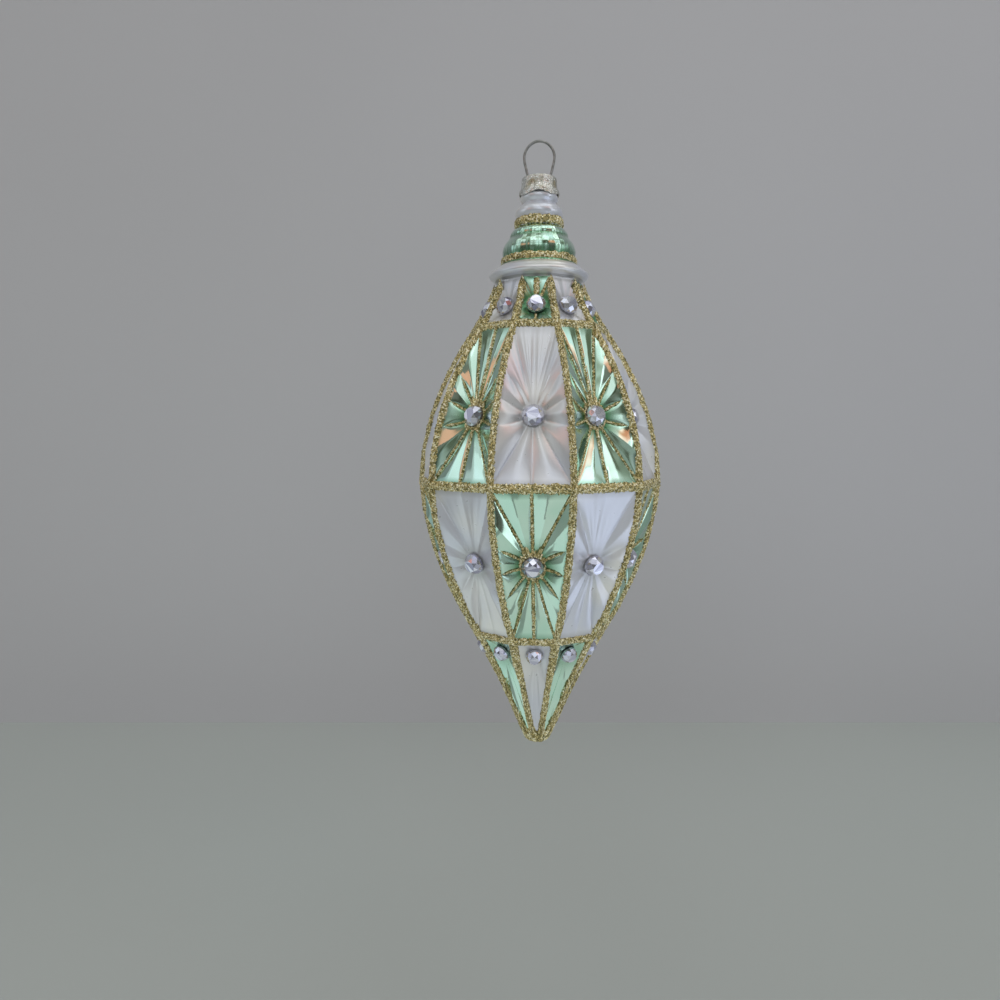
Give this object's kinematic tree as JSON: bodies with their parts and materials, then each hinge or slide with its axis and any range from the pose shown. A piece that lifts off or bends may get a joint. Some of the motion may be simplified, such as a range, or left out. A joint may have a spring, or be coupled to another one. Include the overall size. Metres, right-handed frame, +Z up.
{
  "type": "glass christmas ornament",
  "caption": "Faceted spindle-shaped silvered glass ornament with pressed star panels, gold glitter ribs, glued rhinestones, a stamped cap and a spring wire hanger.",
  "frame": {"origin": "inside top of the wire ring, where a hook carries it", "axes": "+Z up along the ornament's axis; the ring lies in the XZ plane and a panel faces -Y"},
  "size_m": [0.0572, 0.0544, 0.1414],
  "materials": {
    "silvered_glass": "mint and pearl white lacquer over silvered blown glass",
    "gold_glitter": "old gold glitter in clear glue",
    "rhinestone": "foil-backed faceted crystal",
    "silver_cap": "stamped, crinkled silver",
    "steel_wire": "drawn spring wire"
  },
  "bodies": {
    "hanger": {"spring_hanger": "steel_wire"},
    "cap": {"cap": "silver_cap"},
    "glass": {"glass_body": "silvered_glass", "glitter_lattice": "gold_glitter", "lower_star_01": "gold_glitter", "lower_star_03": "gold_glitter", "lower_star_05": "gold_glitter", "lower_star_07": "gold_glitter", "lower_star_09": "gold_glitter", "upper_star_02": "gold_glitter", "upper_star_04": "gold_glitter", "upper_star_06": "gold_glitter", "upper_star_08": "gold_glitter", "upper_star_10": "gold_glitter", "collar_glitter_ring": "gold_glitter", "neck_glitter_ring": "gold_glitter", "tip_stone_01": "rhinestone", "tip_stone_02": "rhinestone", "tip_stone_03": "rhinestone", "tip_stone_04": "rhinestone", "tip_stone_05": "rhinestone", "tip_stone_06": "rhinestone", "tip_stone_07": "rhinestone", "tip_stone_08": "rhinestone", "tip_stone_09": "rhinestone", "tip_stone_10": "rhinestone", "lower_stone_01": "rhinestone", "lower_stone_02": "rhinestone", "lower_stone_03": "rhinestone", "lower_stone_04": "rhinestone", "lower_stone_05": "rhinestone", "lower_stone_06": "rhinestone", "lower_stone_07": "rhinestone", "lower_stone_08": "rhinestone", "lower_stone_09": "rhinestone", "lower_stone_10": "rhinestone", "upper_stone_01": "rhinestone", "upper_stone_02": "rhinestone", "upper_stone_03": "rhinestone", "upper_stone_04": "rhinestone", "upper_stone_05": "rhinestone", "upper_stone_06": "rhinestone", "upper_stone_07": "rhinestone", "upper_stone_08": "rhinestone", "upper_stone_09": "rhinestone", "upper_stone_10": "rhinestone", "shoulder_stone_01": "rhinestone", "shoulder_stone_02": "rhinestone", "shoulder_stone_03": "rhinestone", "shoulder_stone_04": "rhinestone", "shoulder_stone_05": "rhinestone", "shoulder_stone_06": "rhinestone", "shoulder_stone_07": "rhinestone", "shoulder_stone_08": "rhinestone", "shoulder_stone_09": "rhinestone", "shoulder_stone_10": "rhinestone"}
  },
  "joints": [
    {"name": "hanger_rock", "type": "hinge", "parent": "hanger", "child": "cap", "pos_m": [0, 0, -0.00817], "axis": [1, 0, 0], "range_deg": [-5, 5]},
    {"name": "glass_release", "type": "slide", "parent": "cap", "child": "glass", "axis": [0, 0, -1], "range_m": [0, 0.018]}
  ]
}
